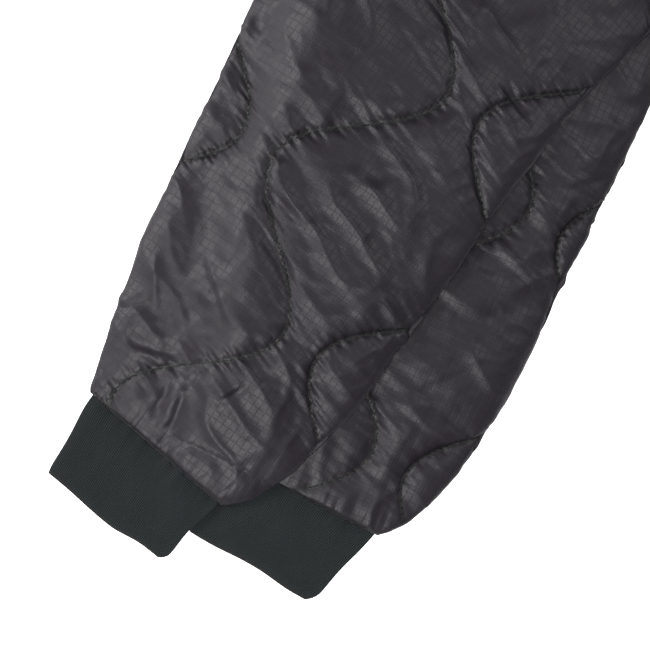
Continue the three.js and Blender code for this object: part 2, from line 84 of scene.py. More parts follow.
# Sleeve sections: along, slant, over, under, thick.
UPPER = {
    "angle": 27.5,
    "rows": np.array([
        (0, 140, 94, -94, 8.4), (60, 90, 115, -81, 9.5), (120, 50, 135, -74, 12), (180, 20, 148, -67, 15),
        (240, 0, 148, -64, 17), (300, 0, 137, -65, 17), (360, 0, 128, -63, 17), (420, 2, 117, -61, 16),
        (470, 5, 105, -53, 13.5), (503, 9, 96, -41, 10), (522, 12, 91, -25, 6.5)], float),
    "cuff": np.array([(522.5, 12, 89, -23, 5.4), (548, 10, 88, -19, 5), (580, 8, 84, -14, 4.8)], float),
}
LOWER = {
    "angle": 37.5,
    "rows": np.array([
        (0, 171, 80, -80, 8.4), (60, 120, 98, -82, 9), (120, 66, 117, -83, 11), (170, 26, 130, -82, 14),
        (215, 5, 131, -82, 16), (275, 0, 122, -80, 16), (335, 0, 113, -78, 16), (395, 0, 103, -75, 15),
        (445, 2, 92, -66, 13), (479, 4, 84, -53, 9.5), (497, 6, 78, -37, 6.5)], float),
    "cuff": np.array([(497.5, 6, 76, -35, 5.4), (523, 8, 78, -27, 5), (554.5, 9, 80, -15, 4.8)], float),
}
# Hood sections: openX, openY, foldX, foldY, centreY.
HOOD = np.array([
    (-34, 634, -95, 710, 690), (-57, 705, -127, 775, 745), (-76, 790, -143, 860, 830),
    (-79, 870, -138, 940, 910), (-64, 930, -110, 1000, 970), (-38, 964, -64, 1034, 1012),
    (-9, 980, -19, 1046, 1036)], float)

# ---- the quilting

QUILT_PERIOD = 190.0
QUILT_SPACING = 99.3
QUILT_WAVE = 36.0
PUFF = 5.2  # height that the batting lifts the cloth between two lines
PUFF_REACH = 8.5  # distance from a line in which the cloth has mostly risen
GROOVE_DEPTH = 1.0  # how far the stitching pulls the cloth down
GROOVE_WIDTH = 1.7
PUCKER_HEIGHT = 2.4
PUCKER_PITCH = 2.1  # along the line, from one pucker to the next
PUCKER_REACH = 5.0
CREASE_REACH = 20.0  # how far the longer creases run out from a line
SEAM_SLANT = 0.35  # how much of the way across counts as way along a line
CRUMPLE_BEND = 9.0  # how far the crumples wander from straight
CREASE_BOW = 0.0035  # how much the listed creases are bowed
CREASE_POWER = 1.6  # how sharp their sides are
STITCH_PITCH = 2.2
STITCH_LENGTH = 2.0
STITCH_HALF_WIDTHS = (0.34, 0.48, 0.34)
STITCH_HALF_HEIGHT = 0.30
STITCH_LIFT = 0.12
# Where each sleeve's pattern sits: phase along, offset across, and drift of the lines across.
UPPER["quilt"] = {"phase": 220.7, "offset": 41.3, "drift": 0.0}
LOWER["quilt"] = {"phase": 263.0, "offset": -2.0, "drift": 0.15}
ZIGZAG = 0.8  # how far each stitch swings to the side of its line
UNDERSIDE_SHIFT = 37.0  # how far the pattern has moved across on a sleeve's underside
PANEL_QUILT = {"phase": 20.0, "offset": -60.0, "drift": 0.0}

# Creases listed for the sleeves, in their own sizes: middle along and across, length, half width, height,
# and heading in degrees from the sleeve's centre line.
UPPER_CREASES = [
    (492, 41, 38, 3.4, 3.0, -8), (491, 48, 34, 2.2, -2.8, -6), (494, 34, 32, 2.0, -2.8, -10),
    (503, 38, 20, 2.2, 2.2, 24), (508, 29, 18, 1.9, -2.2, 20), (464, 42, 28, 3.2, 2.0, 7),
    (466, 36, 26, 2.2, -1.9, 9), (462, 10, 27, 2.2, -2.4, 26), (461, 14, 25, 3.2, 1.5, 26),
    (509, 16, 24, 2.0, -2.3, 27), (510, 20, 22, 3.0, 1.6, 26), (519, -2, 16, 1.8, -2.0, 22),
    (473, 74, 48, 3.4, 1.9, 70), (468, 72, 42, 2.4, -1.7, 72), (496, 55, 46, 5.0, 1.5, 51),
    (516, -22, 18, 2.0, -1.7, 14), (500, 78, 30, 3.0, 1.3, 34), (488, -20, 40, 6.0, 1.2, 40),
    (430, 96, 44, 4.0, 1.8, -34), (408, 62, 58, 3.0, 1.5, -52), (414, 57, 52, 2.6, -1.4, -52),
    (372, -30, 70, 6.5, 1.5, 62), (345, 66, 64, 6.0, -1.3, 74), (300, 10, 80, 7.5, 1.4, 58),
    (262, 92, 72, 6.0, 1.4, -66), (236, 20, 76, 7.0, -1.3, 70), (208, -34, 60, 5.5, 1.5, -50),
    (180, 96, 84, 8.0, 1.3, 48), (150, 22, 90, 8.0, -1.4, 80), (96, -30, 86, 8.0, 1.5, 64),
    (92, 70, 96, 7.0, 1.3, 52), (420, 4, 66, 6.0, 1.4, 84), (330, 108, 50, 4.5, 1.3, -40),
    (388, -48, 44, 4.0, 1.4, 26), (318, -46, 50, 4.5, 1.3, -28), (452, 100, 30, 3.2, -1.4, 40),
]
LOWER_CREASES = [
    (466, 20, 60, 5.0, 2.2, -14), (474, -6, 52, 4.5, -2.0, 6), (478, -28, 44, 4.0, 1.9, 24),
    (440, -46, 50, 4.5, -1.7, 38), (410, -20, 66, 6.5, 1.8, 66), (372, -56, 54, 5.0, 1.6, -54),
    (338, -40, 60, 6.0, -1.4, 60), (300, -62, 46, 4.0, 1.5, 44), (262, -50, 58, 6.0, 1.5, -62),
    (228, -66, 44, 4.0, -1.4, 50), (190, -48, 64, 6.0, 1.4, 72), (452, 56, 44, 4.0, 1.6, -30),
    (420, 64, 60, 6.0, -1.4, 56), (350, 70, 70, 7.0, 1.4, -58), (270, 84, 64, 6.0, 1.3, 64),
]


def noise(x, y, seed):
    """Smooth noise between -1 and 1, with one random value to each unit, the same on every run."""
    lattice = np.random.default_rng(seed).uniform(-1, 1, (64, 64))
    i = np.floor(x).astype(int)
    j = np.floor(y).astype(int)
    u = x - i
    v = y - j
    u = u * u * u * (u * (6 * u - 15) + 10)
    v = v * v * v * (v * (6 * v - 15) + 10)
    low = lattice[i % 64, j % 64] * (1 - u) + lattice[(i + 1) % 64, j % 64] * u
    high = lattice[i % 64, (j + 1) % 64] * (1 - u) + lattice[(i + 1) % 64, (j + 1) % 64] * u
    return low * (1 - v) + high * v


def ridge(x, y, seed):
    """Noise folded over, so that it has narrow crests like creases in cloth."""
    return 0.55 - 2 * np.sqrt(noise(x, y, seed) ** 2 + 0.004)


def quilt_line(along, number, quilt):
    """Where a stitched line lies across the cloth; neighbouring lines mirror each other."""
    wave = np.cos(2 * np.pi * (along - quilt["phase"]) / QUILT_PERIOD)
    sign = np.where(number % 2 == 0, -1.0, 1.0)
    drift = quilt["drift"] * (along - quilt["phase"])
    return quilt["offset"] + drift + QUILT_SPACING * number + sign * QUILT_WAVE * wave


def seam_distance(along, across, quilt):
    """Distance from a place on the cloth to the nearest quilt line."""
    middle = (across - quilt["offset"] - quilt["drift"] * (along - quilt["phase"])) / QUILT_SPACING
    rate = 2 * np.pi / QUILT_PERIOD
    slope = QUILT_WAVE * rate * np.sin(rate * (along - quilt["phase"]))
    nearest = np.full(along.shape, np.inf)
    for step in (-1, 0, 1, 2):
        offset = across - quilt_line(along, np.floor(middle) + step, quilt)
        nearest = np.minimum(nearest, np.abs(offset) / np.sqrt(1 + slope ** 2))
    return nearest


def puckers(along, across, d, seed):
    """Short tight puckers close to a line, and the longer creases that run out from it."""
    path = along + SEAM_SLANT * across
    near = np.exp(-d / PUCKER_REACH) * (1 - np.exp(-(d / 1.2) ** 2))
    tight = (PUCKER_HEIGHT * noise(path / PUCKER_PITCH, d / 13 + across / 60, seed)
             + 0.7 * noise(path / 1.6, d / 9, seed + 1))
    beside = (1 - np.exp(-d / 3.5)) * np.exp(-d / CREASE_REACH)
    longer = (2.0 * noise(path / 8.0, across / 42, seed + 2)
              + 1.2 * ridge(path / 14, across / 60, seed + 5))
    return near * tight + beside * longer


def crumples(along, across, seed):
    """Ridges both ways over the cloth, with a fine roughness and broad swells."""
    bent_along = along + CRUMPLE_BEND * noise(along / 40, across / 40, seed + 9)
    bent_across = across + CRUMPLE_BEND * noise(along / 40, across / 40, seed + 10)
    return (1.6 * ridge(bent_along / 24 + bent_across / 60, bent_across / 46, seed + 3)
            + 0.5 * ridge(bent_along / 17, bent_across / 13 - bent_along / 30, seed + 6)
            + 0.35 * noise(bent_along / 6, bent_across / 7, seed + 4)
            + 1.3 * noise(along / 44, across / 38, seed + 11))


def quilt_height(along, across, quilt, seed):
    """Puffs between the stitched lines, with puckers along them, as a height over the cloth."""
    d = seam_distance(along, across, quilt)
    puff = PUFF * (1 - np.exp(-d / PUFF_REACH)) * (0.82 + 0.14 * np.minimum(d, 50) / 50)
    groove = -GROOVE_DEPTH * np.exp(-(d / GROOVE_WIDTH) ** 2)
    crumple = crumples(along, across, seed) * (1 - np.exp(-d / 8.0))
    return puff + groove + puckers(along, across, d, seed) + crumple


def crease_height(along, across, creases):
    """The listed creases: ridges where their height is positive, and troughs elsewhere."""
    total = np.zeros_like(along)
    for middle, side, length, half_width, height, heading in creases:
        angle = np.radians(heading)
        du = (along - middle) * np.cos(angle) + (across - side) * np.sin(angle)
        dv = -(along - middle) * np.sin(angle) + (across - side) * np.cos(angle)
        dv = dv + CREASE_BOW * du ** 2 * np.sign(height)
        run = np.clip(1 - (2 * du / length) ** 2, 0, 1)
        total += height * run * np.exp(-np.abs(dv / half_width) ** CREASE_POWER)
    return total


# ---- small mathematics

def smooth(t):
    """From 0 to 1 with level ends."""
    t = np.clip(t, 0, 1)
    return t * t * (3 - 2 * t)


def mix(a, b, t):
    return a * (1 - t) + b * t


def value_at(keys, values, where):
    """The smooth curve through a table that the CAD part uses."""
    where = np.asarray(where, float)
    last = len(keys) - 1
    i = np.clip(np.searchsorted(keys, where, side="left") - 1, 0, last - 1)
    before = np.maximum(i - 1, 0)
    after = np.minimum(i + 2, last)
    span = keys[i + 1] - keys[i]
    t = np.clip((where - keys[i]) / span, 0, 1)
    slope_a = (values[i + 1] - values[before]) / (keys[i + 1] - keys[before]) * span
    slope_b = (values[after] - values[i]) / (keys[after] - keys[i]) * span
    t2 = t * t
    t3 = t2 * t
    return ((2 * t3 - 3 * t2 + 1) * values[i] + (t3 - 2 * t2 + t) * slope_a
            + (3 * t2 - 2 * t3) * values[i + 1] + (t3 - t2) * slope_b)


def place(points):
    """Millimetres in the garment's frame to metres in the CAD frame."""
    return np.asarray(points, float) * METRES + np.array([FOLD_EDGE, HEM_EDGE, 0.0])


def spread(start, end, count):
    """The ends of a number of equal steps."""
    return np.linspace(start, end, count + 1)


# ---- meshes

def new_object(name, mesh):
    piece = bpy.data.objects.new(name, mesh)
    bpy.context.collection.objects.link(piece)
    return piece


def add_uv_map(mesh, name, values, quads):
    """Writes millimetres, one pair to each point of the grid, as a UV map in metres."""
    layer = mesh.uv_layers.new(name=name)
    corners = values.reshape(-1, 2)[quads.ravel()] * METRES
    layer.data.foreach_set("uv", corners.astype(np.float32).ravel())


def grid_object(name, points, uv, loop=False, flip=False, seam=None):
    """A surface through a grid of points. Its UV maps hold the cloth's own coordinates and, on quilted
    cloth, the distance to the nearest seam and the run along it, all in metres, which place the painted seam
    shade."""
    rows, columns = points.shape[:2]
    steps = columns if loop else columns - 1
    i, j = np.meshgrid(np.arange(rows - 1), np.arange(steps), indexing="ij")
    k = (j + 1) % columns
    quads = np.stack([i * columns + j, i * columns + k, (i + 1) * columns + k, (i + 1) * columns + j], -1)
    if flip:
        quads = quads[..., ::-1]
    quads = quads.reshape(-1, 4)
    mesh = bpy.data.meshes.new(name)
    mesh.vertices.add(rows * columns)
    mesh.vertices.foreach_set("co", place(points).astype(np.float32).ravel())
    mesh.loops.add(quads.size)
    mesh.loops.foreach_set("vertex_index", quads.astype(np.int32).ravel())
    mesh.polygons.add(len(quads))
    mesh.polygons.foreach_set("loop_start", np.arange(0, quads.size, 4, dtype=np.int32))
    mesh.polygons.foreach_set("use_smooth", np.ones(len(quads), bool))
    add_uv_map(mesh, "cloth", uv, quads)
    if seam is not None:
        add_uv_map(mesh, "seam", seam, quads)
    mesh.update()
    mesh.validate()
    return new_object(name, mesh)


def closed_sheet(outer, inner):
    """Outer and inner grids joined round their edges into one closed ring of rows."""
    return np.concatenate([outer, inner[:, ::-1]], axis=1)


def finish_piece(piece, material, node, body="garment"):
    """Gives a piece its material and body, and lets it stand for a node of the CAD model."""
    piece.data.materials.append(material)
    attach(piece, body)
    if node:
        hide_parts(node)
    return piece


# ---- sleeves

def armhole(t):
    """The armhole's curve, from the underarm (0) to the shoulder (1)."""
    length = np.hypot(*(SHOULDER - UNDERARM))
    depth = ARMHOLE_DEPTH * 4 * t * (1 - t) / length
    x = mix(UNDERARM[0], SHOULDER[0], t) + depth * (SHOULDER[1] - UNDERARM[1])
    y = mix(UNDERARM[1], SHOULDER[1], t) - depth * (SHOULDER[0] - UNDERARM[0])
    return x, y


def axes_of(sleeve):
    """Unit vectors down a sleeve and across it, towards its upper edge."""
    angle = np.radians(sleeve["angle"])
    return (-np.cos(angle), -np.sin(angle)), (-np.sin(angle), np.cos(angle))


def in_plan(sleeve, along, across):
    """A place on a sleeve, seen from above."""
    run, side = axes_of(sleeve)
    return (ARMHOLE_CENTRE[0] + run[0] * along + side[0] * across,
            ARMHOLE_CENTRE[1] + run[1] * along + side[1] * across)


def section(rows, along):
    """Slant, over, under and thick at a distance down the sleeve."""
    return [value_at(rows[:, 0], rows[:, c], along) for c in (1, 2, 3, 4)]


def sleeve_coordinates(rows, along, q):
    """Distances along and across the sleeve of a point on a section, q from -1 (under) to 1 (over)."""
    slant, over, under, _ = section(rows, along)
    return along - slant * q / 2, mix(under, over, (q + 1) / 2)


def sleeve_plan(sleeve, rows, along, q):
    """A point of a section from above, with the sleeve's head bent on to the armhole."""
    s, t = sleeve_coordinates(rows, along, q)
    x, y = in_plan(sleeve, s, t)
    head = 1 - smooth(along / CAP_REACH)
    s0, t0 = sleeve_coordinates(sleeve["rows"], np.zeros_like(along), q)
    x0, y0 = in_plan(sleeve, s0, t0)
    ax, ay = armhole((q + 1) / 2)
    return x + head * (ax - x0 - SEAM_GAP), y + head * (ay - y0)


def lift_at(x, y):
    """Height that the lower sleeve and its cuff hold the upper one up to."""
    run, side = axes_of(LOWER)
    dx = x - ARMHOLE_CENTRE[0]
    dy = y - ARMHOLE_CENTRE[1]
    along = dx * run[0] + dy * run[1]
    across = dx * side[0] + dy * side[1]
    seam = LOWER["cuff"][0, 0]
    end = LOWER["cuff"][-1, 0]
    where = along
    for _ in range(6):
        clipped = np.clip(where, 0, end)
        sleeve_part = section(LOWER["rows"], clipped)
        cuff_part = section(LOWER["cuff"], clipped)
        slant, over, under, thick = [np.where(where < seam, a, b) for a, b in zip(sleeve_part, cuff_part)]
        q = 2 * (across - under) / (over - under) - 1
        where = along + slant * np.clip(q, -1, 1) / 2
    beyond = np.maximum(np.maximum(across - over, under - across), where - end) - LIFT_MARGIN
    return (thick + GAP) * (1 - smooth(beyond / LIFT_REACH))


def tube_points(sleeve, rows, along, angle, height, lifted):
    """Points of a flattened tube: 'angle' runs over the top (0 to pi) and back underneath."""
    q = -np.cos(angle)
    thick = section(rows, along)[3]
    rise = thick * EDGE_RISE
    arch = np.sqrt(np.clip(1 - np.abs(q) ** CROWN_POWER, 0, 1))
    crown = rise + (thick * CROWN_SHARE - rise) * arch
    sole = rise * np.abs(q) ** 6
    over_top = np.sin(angle) >= 0
    z = np.where(over_top, crown, sole)
    x, y = sleeve_plan(sleeve, rows, along, q)
    side = axes_of(sleeve)[1]
    edge = np.abs(q) ** EDGE_POWER
    out = np.sign(q) * edge * height * 0.6
    up = np.where(over_top, height * (1 - 0.75 * edge), height * 0.12 * np.abs(q) ** 4)
    if lifted:
        z = z + lift_at(x, y)
    return np.stack([x + side[0] * out, y + side[1] * out, np.maximum(z + up, 0.0)], -1)


MEAN_RELIEF = 2.6  # taken off the quilting, so that it swells about the tube
GATHER_REACH = 42.0  # length of sleeve that the cuff seam gathers
FAN_CENTRE = 30.0  # the gathers fan out from here, across the sleeve
RUFFLE_REACH = 9.0
CUFF_TUCK = (1.6, 0.2)  # at the cuff seam, reach along the sleeve and depth
HEAD_TUCK = (9.0, 1.0)  # the same at the armhole


def gathers(s, t, to_cuff, gathered, seed):
    """The folds that fan out from the cuff seam, and the small ruffle right beside it."""
    fan = t + 0.12 * (t - FAN_CENTRE) * (to_cuff / 60)
    folds = (1.0 * noise(fan / 13 + s / 90, s / 50, seed + 7)
             + 0.8 * ridge(fan / 19, s / 60, seed + 12) + 1.6)
    ruffle = np.exp(-to_cuff / RUFFLE_REACH) * (1.5 * noise(fan / 3.2, s / 30, seed + 8) + 0.8)
    return gathered * folds + ruffle


def sleeve_height(sleeve, creases, along, angle, seed):
    """Height of puffs and creases at a place on a sleeve, taken down at its two seams."""
    s, t = sleeve_coordinates(sleeve["rows"], along, -np.cos(angle))
    over_top = np.sin(angle) >= 0
    pattern_t = t + np.where(over_top, 0.0, UNDERSIDE_SHIFT)
    height = quilt_height(s, pattern_t, sleeve["quilt"], seed) - MEAN_RELIEF
    height += np.where(over_top, crease_height(s, t, creases), 0)
    to_cuff = sleeve["rows"][-1, 0] - along
    gathered = np.exp(-(to_cuff / GATHER_REACH) ** 1.3)
    height = height * (1 - 0.7 * gathered) + gathers(s, t, to_cuff, gathered, seed)
    at_cuff = np.exp(-to_cuff / CUFF_TUCK[0])
    at_head = np.exp(-along / HEAD_TUCK[0])
    return height * (1 - at_cuff) * (1 - at_head) - CUFF_TUCK[1] * at_cuff - HEAD_TUCK[1] * at_head


INNER_FACE_UV = 400.0  # keeps the underside's pattern clear of the top's


def turned_row(last, before):
    """The row where a tube's seam allowance turns in, past its last row."""
    centre = last.mean(axis=0)
    turned = mix(last, centre, 0.03)
    turned[:, 2] = mix(last[:, 2], centre[2], 0.75)
    turned[:, :2] += (before - last)[:, :2].mean(axis=0) * 1.5
    return turned[None]


def make_sleeve(name, sleeve, creases, seed, top_count, bottom_count, rows_count, lifted):
    """A quilted sleeve: a flattened tube with its relief, its points closer at the side edges."""
    rows = sleeve["rows"]
    over = np.linspace(0, np.pi, top_count, endpoint=False)
    under = np.linspace(np.pi, 2 * np.pi, bottom_count, endpoint=False)
    ring = np.concatenate([over - 0.28 * np.sin(2 * over), under])
    stations = np.linspace(rows[0, 0], rows[-1, 0], rows_count)
    along, angle = np.meshgrid(stations, ring, indexing="ij")
    height = sleeve_height(sleeve, creases, along, angle, seed)
    points = tube_points(sleeve, rows, along, angle, height, lifted)
    head = turned_row(points[0], points[1])
    mouth = turned_row(points[-1], points[-2])
    points = np.concatenate([head, points, mouth])
    along = np.concatenate([along[:1], along, along[-1:]])
    angle = np.concatenate([angle[:1], angle, angle[-1:]])
    over_top = np.sin(angle) >= 0
    s, t = sleeve_coordinates(rows, along, -np.cos(angle))
    uv = np.stack([s, t + np.where(over_top, 0.0, INNER_FACE_UV)], -1)
    pattern_t = t + np.where(over_top, 0.0, UNDERSIDE_SHIFT)
    # Distance to the nearest quilt line or to the cuff seam, kept in the seam map: it places the painted
    # seam shade, and so a painted dark contact line where the sleeve meets its cuff.
    painted_shade_distance = np.minimum(seam_distance(s, pattern_t, sleeve["quilt"]), rows[-1, 0] - along)
    seam = np.stack([painted_shade_distance, s + SEAM_SLANT * t], -1)
    return grid_object(name, points, uv, loop=True, flip=True, seam=seam)


QUILT_LINES = range(-3, 4)  # the numbers of the lines that can cross a sleeve


def path_length(*coordinates):
    """Distance travelled along a path, at each of its points."""
    steps = np.sqrt(sum(np.diff(c) ** 2 for c in coordinates))
    return np.concatenate([[0], np.cumsum(steps)])


def stitch_ends(sleeve):
    """Start, middle and end of each stitch on the flat cloth, in a zigzag along the quilt lines."""
    s = np.arange(4.0, sleeve["rows"][-1, 0] - 6, 0.25)
    found = []
    for number in QUILT_LINES:
        t = quilt_line(s, np.full(s.shape, number), sleeve["quilt"])
        travelled = path_length(s, t)
        starts = np.arange(0, travelled[-1] - STITCH_LENGTH, STITCH_PITCH)
        side = np.where(np.arange(len(starts)) % 2 == 0, ZIGZAG, -ZIGZAG)
        stitch = []
        for part, swing in ((0.0, 1), (0.5, 0), (1.0, -1)):
            reached = starts + part * STITCH_LENGTH
            offset = swing * side
            at_s = np.interp(reached, travelled, s) + 0.5 * offset
            at_t = np.interp(reached, travelled, t) + offset
            stitch.append(np.stack([at_s, at_t], -1))
        found.append(np.stack(stitch, 1))
    return np.concatenate(found)


def on_sleeve(rows, s, t):
    """The station and the place on its section of a point on the flat cloth."""
    along = s.copy()
    for _ in range(6):
        slant, over, under, _ = section(rows, along)
        q = 2 * (t - under) / (over - under) - 1
        along = s + slant * q / 2
    return along, q


def bars_mesh(name, centre):
    """Six-sided bars, each through three points, wider in the middle."""
    way = centre[:, 2:3] - centre[:, 0:1]
    way = way / np.linalg.norm(way, axis=-1, keepdims=True)
    up = np.array([0, 0, 1.0])
    across = np.cross(way, up) * np.array(STITCH_HALF_WIDTHS)[None, :, None]
    sides = ((1, 0), (0.7, 0.7), (0, 1), (-0.7, 0.7), (-1, 0), (0, -0.8))
    ring = [centre + across * c + up * (STITCH_HALF_HEIGHT * v + STITCH_LIFT) for c, v in sides]
    ring = np.stack(ring, 2)
    count = len(sides)
    faces = []
    for base in range(0, len(ring) * 3 * count, 3 * count):
        for a in (base, base + count):
            for k in range(count):
                m = (k + 1) % count
                faces.append((a + k, a + m, a + count + m, a + count + k))
        faces.append(tuple(base + k for k in range(count - 1, -1, -1)))
        faces.append(tuple(base + 2 * count + k for k in range(count)))
    mesh = bpy.data.meshes.new(name)
    mesh.from_pydata(place(ring.reshape(-1, 3)).tolist(), [], faces)
    mesh.polygons.foreach_set("use_smooth", np.ones(len(mesh.polygons), bool))
    return mesh


def stitches(name, sleeve, creases, seed, lifted):
    """The thread along a sleeve's quilt lines, a small bar lying on the cloth for each stitch."""
    rows = sleeve["rows"]
    ends = stitch_ends(sleeve)
    along, q = on_sleeve(rows, ends[..., 0], ends[..., 1])
    kept = ((np.abs(q) < 0.985) & (along > 3) & (along < rows[-1, 0] - 5)).all(axis=1)
    along = along[kept]
    angle = np.arccos(-q[kept])
    height = sleeve_height(sleeve, creases, along, angle, seed)
    centre = tube_points(sleeve, rows, along, angle, height, lifted)
    return new_object(name, bars_mesh(name, centre))


# ---- ribbing

RIB_PITCH = 1.45
RIB_HEIGHT = 0.34
HEM_RIB_HEIGHT = 0.3
STEPS_PER_RIB = 5
CUFF_ROWS = 26
SEWN_IN = np.array([4.0, 2.0])  # how far inside the sleeve's end the knit's rows start
MOUTH_DEPTHS = np.array([1.0, 3.0, 9.0])  # rows that go back up inside a cuff from its rim
CORNER_START = 0.88  # where a cuff's round corner starts, 1 being its side
CORNER_CUT = 5.0
EDGE_WAVE = 2.6
WAIST = 0.035  # share by which a cuff's sides draw in
ROLL_REACH = 2.2


def cuff_outline(along, q, rows, seed):
    """A slightly wavy free edge with a round inner corner, and sides that draw in above it."""
    down = np.clip((along - rows[0, 0]) / (rows[-1, 0] - rows[0, 0]), 0, 1)
    corner = np.clip((-q - CORNER_START) / (1 - CORNER_START), 0, 1) ** 2
    wavy = EDGE_WAVE * noise(q * 1.3 + 5, q * 0, seed + 4)
    placed = along + down ** 2 * (wavy - CORNER_CUT * corner)
    return placed, q * (1 - WAIST * np.sin(np.pi * down) ** 2)


def cuff_height(wave, along, t, rows, seed):
    """The ribs, pinched in at the sleeve's seam, with broad waves and a rolled free edge."""
    past_seam = np.maximum(along - rows[0, 0], 0) / 9.0
    pinch = np.exp(-past_seam) * (1.1 * noise(t / 5.5, along / 40, seed + 1) - 0.9)
    rolled = np.exp(-((rows[-1, 0] - along) / ROLL_REACH) ** 2)
    broad = 0.7 * noise(along / 30 + 3, t / 22, seed + 2)
    return wave * (1 - 0.6 * rolled) + pinch + broad - 0.9 * rolled


def turned_mouth(rim, level, sleeve):
    """Rows that go back up inside a cuff from its rim, closer to its middle height."""
    run = axes_of(sleeve)[0]
    rows = []
    for depth in MOUTH_DEPTHS:
        inside = rim.copy()
        inside[:, 2] = mix(inside[:, 2], level, 0.55)
        inside[:, 0] -= run[0] * depth
        inside[:, 1] -= run[1] * depth
        rows.append(inside)
    return np.stack(rows)


def make_cuff(name, sleeve, lifted, seed):
    """A rib-knit cuff: a flattened tube, its ribs real relief, open at its free edge."""
    rows = sleeve["cuff"]
    seam = rows[0, 0]
    edge = rows[-1, 0]
    ribs = round((rows[0, 2] - rows[0, 3]) / RIB_PITCH)
    stations = np.concatenate([seam - SEWN_IN, spread(seam, edge, CUFF_ROWS)])
    along, q = np.meshgrid(stations, spread(-1, 1, ribs * STEPS_PER_RIB), indexing="ij")
    t = sleeve_coordinates(rows, along, q)[1]
    wave = RIB_HEIGHT * np.cos(np.pi * (q + 1) * ribs) + 0.1 * noise(along / 18, t / 9, seed)
    height = cuff_height(wave, along, t, rows, seed)
    placed, narrowed = cuff_outline(along, q, rows, seed)
    angle = np.arccos(np.clip(-narrowed, -1, 1))
    top = tube_points(sleeve, rows, placed, angle, height, lifted)
    under = tube_points(sleeve, rows, placed, 2 * np.pi - angle, height, lifted)
    under[..., 2] += np.maximum(wave, 0) * 0.2
    ring = np.concatenate([top[:, :-1], under[:, ::-1][:, :-1]], axis=1)
    middle = mix(top[-1], under[-1], 0.5)[:, 2]
    level = np.concatenate([middle[:-1], middle[::-1][:-1]])
    ring = np.concatenate([ring, turned_mouth(ring[-1], level, sleeve)])
    length = np.concatenate([stations, edge + MOUTH_DEPTHS]) - edge
    round_cuff = np.arange(ring.shape[1]) * RIB_PITCH / STEPS_PER_RIB
    uv = np.stack(np.meshgrid(length, round_cuff, indexing="ij"), -1)
    return grid_object(name, ring, uv, loop=True, flip=True)


# ---- body panels and hood

def bend(start, control, end, t):
    """A curve from start to end that leans towards control."""
    t = np.asarray(t)[..., None]
    return mix(mix(start, control, t), mix(control, end, t), t)


def front_neck(end_x, t):
    return bend(NECK, np.array([NECK[0] + 8, FRONT_NECK_Y + 6]), np.array([end_x, FRONT_NECK_Y]), t)


def back_neck(t):
    return bend(NECK, np.array([NECK[0] + 30, BACK_NECK_Y]), np.array([FOLD_X, BACK_NECK_Y]), t)


SIDE_TOP = 0.5  # share of a panel's height where the side seam meets the armhole
SHOULDER_END = 0.66  # share of its width where the shoulder seam meets the neck
PANEL_PUFF = 0.62  # share of the sleeves' relief that the flat panels have
PANEL_SINK = 1.9  # how far that relief starts below the outer face


def column(values):
    """Values with one more axis, so that they multiply points."""
    return values[..., None]


def half_panel(neckline, centre_x, top_y, u, v):
    """A panel laid flat between its four seams: u from the side to the centre, v from the hem up."""
    low = np.array([SIDE_X, HEM_HEIGHT])
    low_end = np.array([centre_x, HEM_HEIGHT])
    high_end = np.array([centre_x, top_y])
    bottom = mix(low, low_end, column(u))
    sewn = np.clip(u / SHOULDER_END, 0, 1)
    neck = neckline(np.clip((u - SHOULDER_END) / (1 - SHOULDER_END), 0, 1))
    top = np.where(column(u) < SHOULDER_END, mix(SHOULDER, NECK, column(sewn)), neck)
    ax, ay = armhole(np.clip((v - SIDE_TOP) / (1 - SIDE_TOP), 0, 1))
    seam = mix(low, UNDERARM, column(np.clip(v / SIDE_TOP, 0, 1)))
    side = np.where(column(v) < SIDE_TOP, seam, np.stack([ax, ay], -1))
    centre = mix(low_end, high_end, column(v))
    corners = mix(mix(low, low_end, column(u)), mix(SHOULDER, high_end, column(u)), column(v))
    flat = mix(bottom, top, column(v)) + mix(side, centre, column(u)) - corners
    flat[..., 1] += SEAM_GAP * (1 - v)
    return flat


def turn(beyond, radius):
    """Cloth folded back round a half circle: way out, way up, and the outer face's direction."""
    angle = np.clip(beyond / radius, 0, np.pi)
    straight = np.where(beyond <= 0, beyond, -np.maximum(0, beyond - np.pi * radius))
    return straight + radius * np.sin(angle), -radius * np.cos(angle), np.sin(angle), -np.cos(angle)


def edge_fade(u, v, width_u, width_v):
    """From nothing at a panel's edges to 1 inside them, so that the edges are rounded."""
    near = np.minimum(np.minimum(u, 1 - u) / width_u, np.minimum(v, 1 - v) / width_v)
    return np.sqrt(np.clip(1 - (1 - np.clip(near, 0, 1)) ** 2, 0, 1))


def padded_panel(name, flat, path, u, v, seed, outer_puff):
    """A padded panel: an outer face with the quilting and a plain inner face."""
    out, up, face_out, face_up = path
    fade = edge_fade(u, v, 0.022, 0.011)
    puff = quilt_height(flat[..., 1], flat[..., 0], PANEL_QUILT, seed)
    thick = (WALL / 2) * (0.25 + 0.75 * fade)
    outer = thick + outer_puff * fade * (PANEL_PUFF * puff - PANEL_SINK)
    layers = []
    for offset in (outer, -thick):
        x = FOLD_X + out + face_out * offset
        layers.append(np.stack([x, flat[..., 1], MIDDLE + up + face_up * offset], -1))
    uv = np.stack([flat[..., 1], flat[..., 0]], -1)
    return closed_panel(name, layers[0], layers[1], uv, PANEL_QUILT)


def close_ends(mesh, rows, columns):
    """Strips across the first and last rows of a ring, between its two faces."""
    total = 2 * columns
    work = bmesh.new()
    work.from_mesh(mesh)
    work.verts.ensure_lookup_table()
    for row in (0, rows - 1):
        base = row * total
        for k in range(columns - 1):
            corners = [base + k, base + k + 1, base + total - 2 - k, base + total - 1 - k]
            if row == 0:
                corners.reverse()
            work.faces.new([work.verts[c] for c in corners]).smooth = True
    bmesh.ops.recalc_face_normals(work, faces=work.faces)
    work.to_mesh(mesh)
    work.free()


